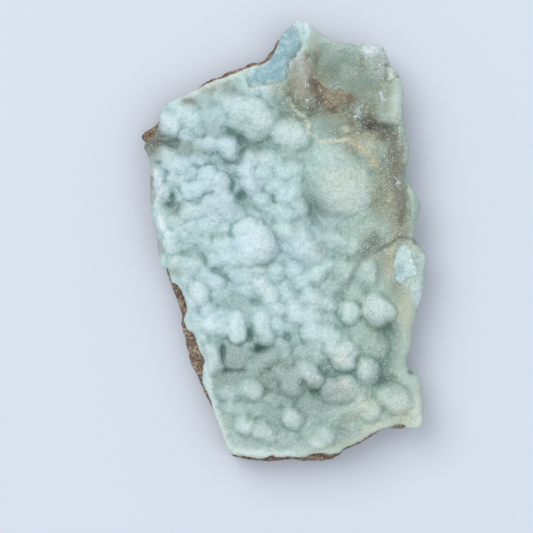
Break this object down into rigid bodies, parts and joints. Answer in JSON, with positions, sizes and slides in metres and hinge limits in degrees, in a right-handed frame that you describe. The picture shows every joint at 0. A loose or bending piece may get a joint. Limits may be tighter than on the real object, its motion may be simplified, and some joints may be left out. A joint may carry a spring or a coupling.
{
  "type": "hemimorphite specimen",
  "caption": "Flat slab of brown matrix rock with a pale blue-green botryoidal hemimorphite crust on its face, for display lying on its back.",
  "frame": {"origin": "centre of the specimen's bounding box in plan, at the level of the surface that it lies on", "axes": "+Z out of the crust's face, +Y along the long way of the slab towards its pointed end, +X to the right as the crust is looked at"},
  "size_m": [0.1149, 0.1773, 0.0265],
  "materials": {
    "hemimorphite": "waxy translucent crust with a fine crystalline glitter",
    "matrix": "rough, granular broken rock"
  },
  "bodies": {
    "root": {"hemimorphite_crust": "hemimorphite", "matrix_rock": "matrix"}
  },
  "joints": []
}
